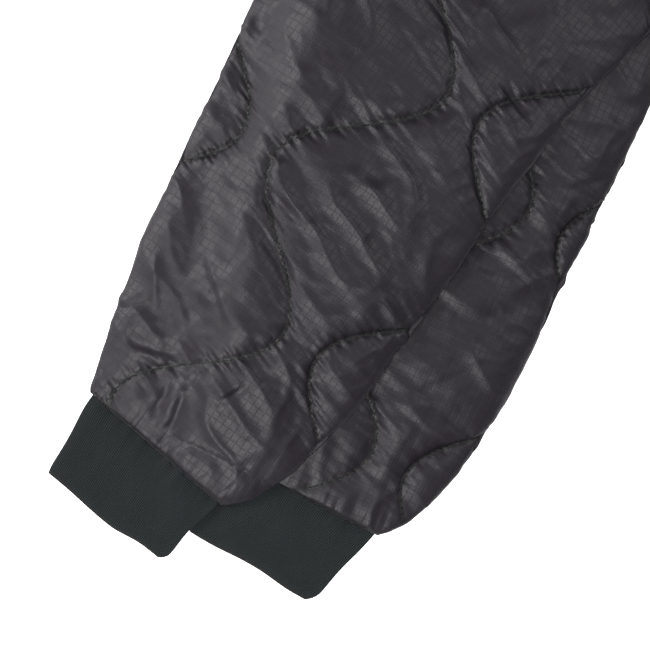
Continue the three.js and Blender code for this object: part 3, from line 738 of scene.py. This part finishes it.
def closed_panel(name, outer, inner, uv, quilt=None):
    """A closed piece between an outer and an inner face, with a seam map that places the painted seam shade
    if it is quilted.
    """
    uv_ring = np.concatenate([uv, uv[:, ::-1] + np.array([0, 700.0])], axis=1)
    seam = None
    if quilt:
        path = uv[..., 0] + SEAM_SLANT * uv[..., 1]
        seam = np.stack([seam_distance(uv[..., 0], uv[..., 1], quilt), path], -1)
        seam = np.concatenate([seam, seam[:, ::-1]], axis=1)
    piece = grid_object(name, closed_sheet(outer, inner), uv_ring, loop=True, seam=seam)
    close_ends(piece.data, *outer.shape[:2])
    return piece


def make_front_left(seed):
    u, v = np.meshgrid(spread(0, 1, 120), spread(0, 1, 240))
    flat = half_panel(lambda t: front_neck(LEFT_EDGE_X, t), LEFT_EDGE_X, FRONT_NECK_Y, u, v)
    zeros = np.zeros_like(u)
    path = (flat[..., 0] - FOLD_X, zeros + 1.5 * LAYER, zeros, zeros + 1)
    return padded_panel("front_left_cloth", flat, path, u, v, seed, 1)


def make_front_right(seed):
    u, v = np.meshgrid(np.concatenate([spread(0, 0.9, 70), spread(0.9, 1, 40)[1:]]), spread(0, 1, 200))
    flat = half_panel(lambda t: front_neck(RIGHT_EDGE_X, t), RIGHT_EDGE_X, FRONT_NECK_Y, u, v)
    path = turn(flat[..., 0] - FOLD_X, 1.5 * LAYER)
    turned = smooth((flat[..., 0] - FOLD_X) / 8.0)
    return padded_panel("front_right_cloth", flat, path, u, v, seed, turned)


def make_back(seed):
    u, v = np.meshgrid(spread(0, 1, 60), spread(0, 1, 140))
    flat = half_panel(back_neck, FOLD_X, BACK_NECK_Y, u, v)
    radius = LAYER / 2
    arc = np.pi * radius
    right = flat[..., 0] - FOLD_X
    middle = np.repeat(flat[:, -1:], 8, axis=1)
    around = np.repeat(spread(0, arc, 9)[1:-1][None], len(flat), axis=0)
    beyond = np.concatenate([right, around, (arc - right)[:, ::-1]], axis=1)
    whole = np.concatenate([flat, middle, flat[:, ::-1]], axis=1)
    ring_u = np.repeat(np.linspace(0, 1, beyond.shape[1])[None], len(flat), axis=0)
    ring_v = np.repeat(v[:, :1], beyond.shape[1], axis=1)
    return padded_panel("back_cloth", whole, turn(beyond, radius), ring_u, ring_v, seed, 0)


FACE_END = 0.44  # share of the way round a hood half where its outer face ends
INSIDE_START = 0.52  # and where its inner layer starts, past the fold


def make_hood(name, side, end_x, reach, seed):
    """Half of the hood, folded: its outer face, the fold at the back and the layer inside."""
    where, w = np.meshgrid(spread(0, 6, 130), spread(0, 1, 110), indexing="ij")
    index = np.arange(float(len(HOOD)))
    open_x, open_y, fold_x, fold_y, centre_y = [value_at(index, HOOD[:, c], where) for c in range(5)]
    opening = np.stack([open_x, open_y], -1)
    fold = np.stack([fold_x, fold_y], -1)
    centre = np.stack([np.full_like(where, FOLD_X), centre_y], -1)
    at_neck = column(1 - smooth(where))
    face = np.clip(w / FACE_END, 0, 1)
    inside = np.clip((w - INSIDE_START) / (1 - INSIDE_START), 0, 1)
    angle = np.pi * np.clip((w - FACE_END) / (INSIDE_START - FACE_END), 0, 1)
    seam = front_neck(end_x, (1 - face) * reach) + np.array([SEAM_GAP, 0])
    outer_flat = mix(mix(opening, fold, column(face)), seam, at_neck)
    inner_flat = mix(mix(fold, centre, column(inside)), back_neck(inside), at_neck)
    way = fold - opening
    way = way / np.linalg.norm(way, axis=-1, keepdims=True)
    flat = np.where(column(w) <= (FACE_END + INSIDE_START) / 2, outer_flat, inner_flat)
    fade = edge_fade(w, where / 6, 0.02, 0.012)
    puff = quilt_height(flat[..., 1], flat[..., 0], PANEL_QUILT, seed)
    thick = (WALL / 2) * (0.25 + 0.75 * fade)
    # Only the upper half's outer face has room to swell.
    shown = np.cos(angle) > 0.5
    swell = np.where(shown & (side > 0), fade * (PANEL_PUFF * puff - PANEL_SINK), 0)
    layers = []
    for offset in (thick + swell, -thick):
        reach_out = (LAYER / 2 + offset) * np.sin(angle)
        xy = flat + way * column(reach_out)
        z = MIDDLE + side * LAYER + side * (LAYER / 2 + offset) * np.cos(angle)
        layers.append(np.stack([xy[..., 0], xy[..., 1] + SEAM_GAP, z], -1))
    uv = np.stack([flat[..., 1], flat[..., 0] + np.where(shown, 0, 300.0)], -1)
    return closed_panel(name, layers[0], layers[1], uv, PANEL_QUILT)


HEM_STEP = 0.48  # distance between points along the band, three to a rib
HEM_HALF = 1.5  # half the band's thickness
HEM_LOW = 0.4
HEM_TOP = HEM_HEIGHT - 0.2
HEM_ROUND = 2.0  # how far in from its edges the band is rounded


def hem_straight(x0, x1, z, face):
    """A straight stretch of the band's path: x, z, and the way its outer face looks."""
    count = max(2, int(abs(x1 - x0) / HEM_STEP))
    x = np.linspace(x0, x1, count)
    return np.stack([x, np.full(count, z), np.zeros(count), np.full(count, face)], -1)


def hem_turn(x, z, radius, start, end, face):
    """A half turn of the path; face is 1 where the outer face looks away from the centre."""
    count = max(8, int(abs(end - start) * radius / HEM_STEP))
    a = np.linspace(start, end, count)[1:-1]
    return np.stack([x + radius * np.cos(a), z + radius * np.sin(a), face * np.cos(a), face * np.sin(a)], -1)


def make_hem_band():
    """The rib band follows the four layers: down, in, out and round the fold to the zip."""
    small = LAYER / 2
    quarter = np.pi / 2
    path = np.concatenate([
        hem_straight(LEFT_EDGE_X, HEM_SIDE_X, MIDDLE + 1.5 * LAYER, 1),
        hem_turn(HEM_SIDE_X, MIDDLE + LAYER, small, quarter, 3 * quarter, 1),
        hem_straight(HEM_SIDE_X, FOLD_X, MIDDLE + small, -1),
        hem_turn(FOLD_X, MIDDLE, small, quarter, -quarter, -1),
        hem_straight(FOLD_X, HEM_SIDE_X, MIDDLE - small, 1),
        hem_turn(HEM_SIDE_X, MIDDLE - LAYER, small, quarter, 3 * quarter, 1),
        hem_straight(HEM_SIDE_X, FOLD_X, MIDDLE - 1.5 * LAYER, -1),
        hem_turn(FOLD_X, MIDDLE, 1.5 * LAYER, -quarter, quarter, 1),
    ])
    travelled = path_length(path[:, 0], path[:, 1])
    low_rows = HEM_LOW + np.array([0, 0.5, 2.0])
    high_rows = HEM_TOP - np.array([2.0, 0.5, 0])
    ys = np.concatenate([low_rows, spread(8, HEM_TOP - 8, 3), high_rows])
    wave = HEM_RIB_HEIGHT * np.cos(2 * np.pi * travelled / RIB_PITCH)
    to_edge = np.clip(np.minimum(ys - HEM_LOW, HEM_TOP - ys) / HEM_ROUND, 0, 1)
    rounded = column(np.sqrt(np.clip(1 - (1 - to_edge) ** 2, 0.05, 1)))
    layers = []
    for offset in ((HEM_HALF + wave) * rounded, -HEM_HALF * rounded):
        x = path[None, :, 0] + path[None, :, 2] * offset
        z = path[None, :, 1] + path[None, :, 3] * offset
        layers.append(np.stack([x, np.broadcast_to(column(ys), x.shape), z], -1))
    uv = np.stack(np.meshgrid(-ys, travelled, indexing="ij"), -1)
    return closed_panel("hem_rib", layers[0], layers[1], uv)


# ---- zip

def joined_boxes(name, boxes, bevel):
    """Small blocks (low corner, high corner) in one mesh, with softened edges."""
    work = bmesh.new()
    for low, high in boxes:
        made = bmesh.ops.create_cube(work, size=1.0)["verts"]
        low = place(low)
        high = place(high)
        for vertex in made:
            vertex.co = [mix(low[k], high[k], vertex.co[k] + 0.5) for k in range(3)]
    bmesh.ops.bevel(work, geom=work.edges[:], offset=bevel * METRES, segments=2, affect="EDGES", profile=0.6)
    mesh = bpy.data.meshes.new(name)
    work.to_mesh(mesh)
    work.free()
    return new_object(name, mesh)


TOOTH_PITCH = 2.5  # from one tooth to the next on the same side
TOOTH_HALF = (2.7, 0.9)  # reach of a tooth past the middle, on its own side and the other
TOOTH_LENGTH = 1.0
TOOTH_RISE = 1.2
TEETH_START = 16.0


def make_teeth():
    """Interlocked teeth, from the box at the hem up to the slider, alternating side to side."""
    boxes = []
    for k, y in enumerate(np.arange(TEETH_START, SLIDER_START - 1.5, TOOTH_PITCH / 2)):
        side = 1 if k % 2 else -1
        inner = ZIP_X - side * TOOTH_HALF[1]
        outer = ZIP_X + side * TOOTH_HALF[0]
        low = (min(inner, outer), y, ZIP_Z - TOOTH_RISE)
        high = (max(inner, outer), y + TOOTH_LENGTH, ZIP_Z + TOOTH_RISE)
        boxes.append((low, high))
    return joined_boxes("zip_teeth", boxes, 0.25)


# ---- materials

# Sizes in the materials are metres.
WARP_PITCH = 0.0047
WEFT_PITCH = 0.0056
RIPSTOP_WIDTH = 0.00062
LOOP_PITCH = 0.0011
LOOP_WIDTH = 0.0004
# Width of the painted shade lines in the rib valleys.
PAINTED_VALLEY_SHADE_WIDTH = 0.0005
NYLON_COLOUR = (0.0138, 0.0098, 0.0160, 1.0)
NYLON_SHEEN = (0.8, 0.74, 0.82, 1.0)
RIB_COLOUR = (0.0250, 0.0300, 0.0312, 1.0)
RIB_EDGE_COLOUR = (0.035, 0.022, 0.015, 1.0)


class Nodes:
    """A short way to write a material's node tree."""

    def __init__(self, name):
        self.material = bpy.data.materials.new(name)
        self.material.use_nodes = True
        self.tree = self.material.node_tree
        self.shader = self.tree.nodes["Principled BSDF"]

    def add(self, kind, **values):
        node = self.tree.nodes.new(kind)
        inputs = values.pop("inputs", {})
        for key, value in values.items():
            setattr(node, key, value)
        for key, value in inputs.items():
            if isinstance(value, bpy.types.NodeSocket):
                self.tree.links.new(value, node.inputs[key])
            else:
                node.inputs[key].default_value = value
        return node

    def maths(self, operation, a, b=0.0, c=0.0):
        return self.add("ShaderNodeMath", operation=operation, inputs={0: a, 1: b, 2: c}).outputs[0]

    def noise(self, vector, scale, detail):
        inputs = {"Vector": vector, "Scale": scale, "Detail": detail}
        return self.add("ShaderNodeTexNoise", inputs=inputs).outputs[0]

    def ramp(self, value, start, end, low, high):
        """A smooth change from low to high as the value goes from start to end."""
        inputs = {0: value, 1: start, 2: end, 3: low, 4: high}
        return self.add("ShaderNodeMapRange", interpolation_type="SMOOTHSTEP", inputs=inputs).outputs[0]

    def multiply(self, a, b):
        return self.maths("MULTIPLY", a, b)

    def scaled(self, value, scale, start):
        return self.maths("MULTIPLY_ADD", value, scale, start)

    def tinted(self, colour, shade):
        inputs = {0: 1.0, 1: colour, 2: shade}
        return self.add("ShaderNodeMixRGB", blend_type="MULTIPLY", inputs=inputs).outputs[0]

    def link(self, output, socket):
        self.tree.links.new(output, self.shader.inputs[socket])

    def bump(self, height, strength, distance):
        inputs = {"Strength": strength, "Distance": distance, "Height": height}
        self.link(self.add("ShaderNodeBump", inputs=inputs).outputs[0], "Normal")


def cloth_axes(nodes):
    """The cloth's own coordinates, and each of the two alone."""
    uv = nodes.add("ShaderNodeUVMap", uv_map="cloth").outputs[0]
    split = nodes.add("ShaderNodeSeparateXYZ", inputs={0: uv})
    return uv, split.outputs[0], split.outputs[1]


def thread_line(nodes, coordinate, pitch, width):
    """1 on thin lines at a pitch, 0 between them, with soft sides."""
    from_line = nodes.maths("PINGPONG", coordinate, pitch / 2)
    return nodes.ramp(from_line, 0.0, width, 1.0, 0.0)


def painted_seam_shade(nodes):
    """Painted shade: dark, ragged ticks beside the seams, standing in for the shade in the puckers that the
    stitching draws up in the cloth.
    """
    uv = nodes.add("ShaderNodeUVMap", uv_map="seam").outputs[0]
    split = nodes.add("ShaderNodeSeparateXYZ", inputs={0: uv})
    distance = split.outputs[0]
    stretched = nodes.add("ShaderNodeCombineXYZ", inputs={
        0: nodes.multiply(distance, 130.0), 1: nodes.multiply(split.outputs[1], 620.0)})
    tick = nodes.noise(stretched.outputs[0], 1.0, 2.0)
    reach = nodes.scaled(tick, 0.0085, -0.0016)
    # The painted shade: full darkening within the ragged reach of a seam, fading out beyond it.
    return nodes.ramp(nodes.maths("SUBTRACT", reach, distance), -0.0004, 0.0012, 1.0, 0.25)


def nylon_material():
    """Thin satin nylon with its ripstop grid, and painted shade along its seams."""
    nodes = Nodes("ripstop_nylon")
    uv, along, across = cloth_axes(nodes)
    warp = thread_line(nodes, across, WARP_PITCH, RIPSTOP_WIDTH)
    weft = thread_line(nodes, along, WEFT_PITCH, RIPSTOP_WIDTH)
    grid = nodes.maths("MAXIMUM", warp, weft)
    fine = nodes.noise(uv, 900.0, 3.0)
    cloud = nodes.noise(uv, 14.0, 3.0)
    shade = nodes.scaled(cloud, 0.5, 0.74)
    shade = nodes.multiply(shade, nodes.scaled(fine, 0.36, 0.82))
    shade = nodes.multiply(shade, nodes.scaled(grid, -0.2, 1.0))
    # Painted shade beside the seams, and along a sleeve's cuff seam.
    shade = nodes.multiply(shade, painted_seam_shade(nodes))
    nodes.link(nodes.tinted(NYLON_COLOUR, shade), "Base Color")
    rough = nodes.scaled(fine, 0.12, 0.42)
    nodes.link(nodes.scaled(grid, 0.08, rough), "Roughness")
    nodes.bump(nodes.scaled(grid, 0.5, nodes.multiply(fine, 0.7)), 0.6, 0.00017)
    nodes.shader.inputs["Specular IOR Level"].default_value = 0.5
    nodes.shader.inputs["Sheen Weight"].default_value = 0.08
    nodes.shader.inputs["Sheen Roughness"].default_value = 0.45
    nodes.shader.inputs["Sheen Tint"].default_value = NYLON_SHEEN
    return nodes.material


def rib_material():
    """Matt rib knit: painted shade in the valleys between the ribs, darkest towards the sleeve's seam, and a
    brown free edge.
    """
    nodes = Nodes("rib_knit")
    uv, along, across = cloth_axes(nodes)
    loops = thread_line(nodes, along, LOOP_PITCH, LOOP_WIDTH)
    fuzz = nodes.noise(uv, 1100.0, 4.0)
    cloud = nodes.noise(uv, 45.0, 2.0)
    shade = nodes.scaled(fuzz, 0.7, 0.66)
    shade = nodes.multiply(shade, nodes.scaled(cloud, 0.3, 0.85))
    shade = nodes.multiply(shade, nodes.scaled(loops, -0.14, 1.0))
    pitch = RIB_PITCH * METRES
    # Painted shade in the valleys between the ribs, deepest towards the sleeve's seam.
    painted_valley_shade = thread_line(nodes, nodes.maths("ADD", across, pitch / 2), pitch, PAINTED_VALLEY_SHADE_WIDTH)
    depth = nodes.ramp(along, -0.060, -0.035, -0.95, -0.62)
    shade = nodes.multiply(shade, nodes.scaled(painted_valley_shade, depth, 1.22))
    at_edge = nodes.ramp(along, -0.0013, -0.0004, 0.0, 0.8)
    edged = nodes.add("ShaderNodeMixRGB", inputs={
        0: at_edge, 1: nodes.tinted(RIB_COLOUR, shade), 2: RIB_EDGE_COLOUR})
    nodes.link(edged.outputs[0], "Base Color")
    nodes.shader.inputs["Roughness"].default_value = 0.95
    nodes.shader.inputs["Specular IOR Level"].default_value = 0.2
    nodes.shader.inputs["Sheen Weight"].default_value = 0.03
    nodes.bump(nodes.scaled(loops, -0.5, fuzz), 0.6, 0.0002)
    return nodes.material


def plain_material(name, colour, roughness, metallic, scale, depth):
    """Metal, tape or thread with a fine grain in its colour and surface."""
    nodes = Nodes(name)
    where = nodes.add("ShaderNodeTexCoord").outputs["Object"]
    grain = nodes.noise(where, scale, 4.0)
    nodes.link(nodes.tinted((*colour, 1.0), nodes.scaled(grain, 0.6, 0.7)), "Base Color")
    nodes.link(nodes.scaled(grain, 0.2, roughness - 0.1), "Roughness")
    nodes.shader.inputs["Metallic"].default_value = metallic
    nodes.bump(grain, 0.4, depth)
    return nodes.material


# ---- camera, floor and light

VIEW_CENTRE = np.array([-620.0, 354.0, 12.0])
VIEW_TURN = np.radians(-28.0)
VIEW_WIDTH = 0.4333
LENS = 95.0
SENSOR = 36.0
FLOOR_HALF = 6.0
FLOOR_DROP = 0.0004  # keeps the floor clear of the cloth
FLOOR_GLOW = 1.25  # makes the floor plain white
WORLD_STRENGTH = 0.12
# Lights: name, direction from the middle of the view (right, up, to the camera), distance, size, watts.
LIGHTS = (
    ("key", (-1.0, 0.55, 0.8), 2.4, 1.0, 33.0),
    ("fill", (0.8, 0.5, 1.2), 2.6, 1.0, 15.0),
    ("front_light", (-0.7, -0.8, 1.5), 2.4, 1.1, 37.0),
)


def add_camera():
    """Looks straight down, with the view turned to lie as in the photo."""
    data = bpy.data.cameras.new("camera")
    data.lens = LENS
    data.sensor_width = SENSOR
    data.clip_end = 20.0
    camera = bpy.data.objects.new("camera", data)
    centre = place(VIEW_CENTRE)
    camera.location = (centre[0], centre[1], centre[2] + VIEW_WIDTH * LENS / SENSOR)
    camera.rotation_euler = (0.0, 0.0, VIEW_TURN)
    bpy.context.collection.objects.link(camera)
    bpy.context.scene.camera = camera


def add_floor():
    """A plain white ground."""
    mesh = bpy.data.meshes.new("floor")
    signs = ((-1, -1), (1, -1), (1, 1), (-1, 1))
    corners = [(x * FLOOR_HALF, y * FLOOR_HALF, -FLOOR_DROP) for x, y in signs]
    mesh.from_pydata(corners, [], [(0, 1, 2, 3)])
    floor = bpy.data.objects.new("floor", mesh)
    bpy.context.collection.objects.link(floor)
    material = bpy.data.materials.new("floor")
    material.use_nodes = True
    shader = material.node_tree.nodes["Principled BSDF"]
    shader.inputs["Base Color"].default_value = (0.93, 0.93, 0.93, 1.0)
    shader.inputs["Roughness"].default_value = 0.9
    shader.inputs["Emission Color"].default_value = (1.0, 1.0, 1.0, 1.0)
    shader.inputs["Emission Strength"].default_value = FLOOR_GLOW
    mesh.materials.append(material)


def add_light(name, direction, distance, size, energy):
    """A square area light that looks at the middle of the view, from a direction in the view's frame."""
    data = bpy.data.lights.new(name, "AREA")
    data.size = size
    data.energy = energy
    light = bpy.data.objects.new(name, data)
    cos = np.cos(VIEW_TURN)
    sin = np.sin(VIEW_TURN)
    x, y, z = np.array(direction) / np.linalg.norm(direction) * distance
    centre = place(VIEW_CENTRE)
    offset = np.array([x * cos - y * sin, x * sin + y * cos, z])
    light.location = centre + offset
    light.rotation_euler = Vector(-offset).to_track_quat("-Z", "Y").to_euler()
    bpy.context.collection.objects.link(light)


def add_world():
    """A faint even light from all sides, and colours shown as they are."""
    world = bpy.data.worlds.new("world")
    world.use_nodes = True
    background = world.node_tree.nodes["Background"]
    background.inputs[0].default_value = (1.0, 1.0, 1.0, 1.0)
    background.inputs[1].default_value = WORLD_STRENGTH
    bpy.context.scene.world = world
    bpy.context.scene.view_settings.view_transform = "Standard"


# ---- the garment

add_camera()
add_floor()
add_world()
for light in LIGHTS:
    add_light(*light)

nylon = nylon_material()
ribbing = rib_material()
metal = plain_material("zip_metal", (0.05, 0.05, 0.055), 0.36, 0.9, 900.0, 0.00004)
tape = plain_material("zip_tape", (0.018, 0.018, 0.02), 0.9, 0.0, 1500.0, 0.0002)
thread = plain_material("quilting_thread", (0.010, 0.009, 0.010), 0.7, 0.0, 2500.0, 0.0001)

# Sleeves: node, sections, creases, seed, points over the top, points underneath, rows, lies on top.
sleeves = (
    ("sleeve_left", UPPER, UPPER_CREASES, 11, 190, 44, 400, True),
    ("sleeve_right", LOWER, LOWER_CREASES, 31, 150, 50, 330, False),
)
for node, sleeve, creases, seed, top, bottom, stations, lifted in sleeves:
    cloth = make_sleeve(node + "_cloth", sleeve, creases, seed, top, bottom, stations, lifted)
    finish_piece(cloth, nylon, node)
    sewn = stitches(node + "_stitches", sleeve, creases, seed, lifted)
    finish_piece(sewn, thread, None)

for node, sleeve, lifted, seed in (("cuff_left", UPPER, True, 51), ("cuff_right", LOWER, False, 61)):
    knit = finish_piece(make_cuff(node + "_rib", sleeve, lifted, seed), ribbing, node)

front_left = finish_piece(make_front_left(71), nylon, "front_left")
front_right = finish_piece(make_front_right(72), nylon, "front_right")
back = finish_piece(make_back(73), nylon, "back")

# Hood halves: node, side of the middle, end of the neck seam, share of it reached, seed.
hoods = (("hood_left", 1, LEFT_EDGE_X, 1.0, 81), ("hood_right", -1, RIGHT_EDGE_X, 0.8, 82))
for node, side, end_x, reach, seed in hoods:
    hood = finish_piece(make_hood(node + "_cloth", side, end_x, reach, seed), nylon, node)

hem = finish_piece(make_hem_band(), ribbing, "hem_band")

finish_piece(make_teeth(), metal, "zip_chain")
for node, material in (("zip_tape_left", tape), ("zip_tape_right", tape), ("zip_box", metal),
                       ("zip_slider", metal), ("zip_pull", metal)):
    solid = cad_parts[node]
    solid.data.materials.clear()
    solid.data.materials.append(material)
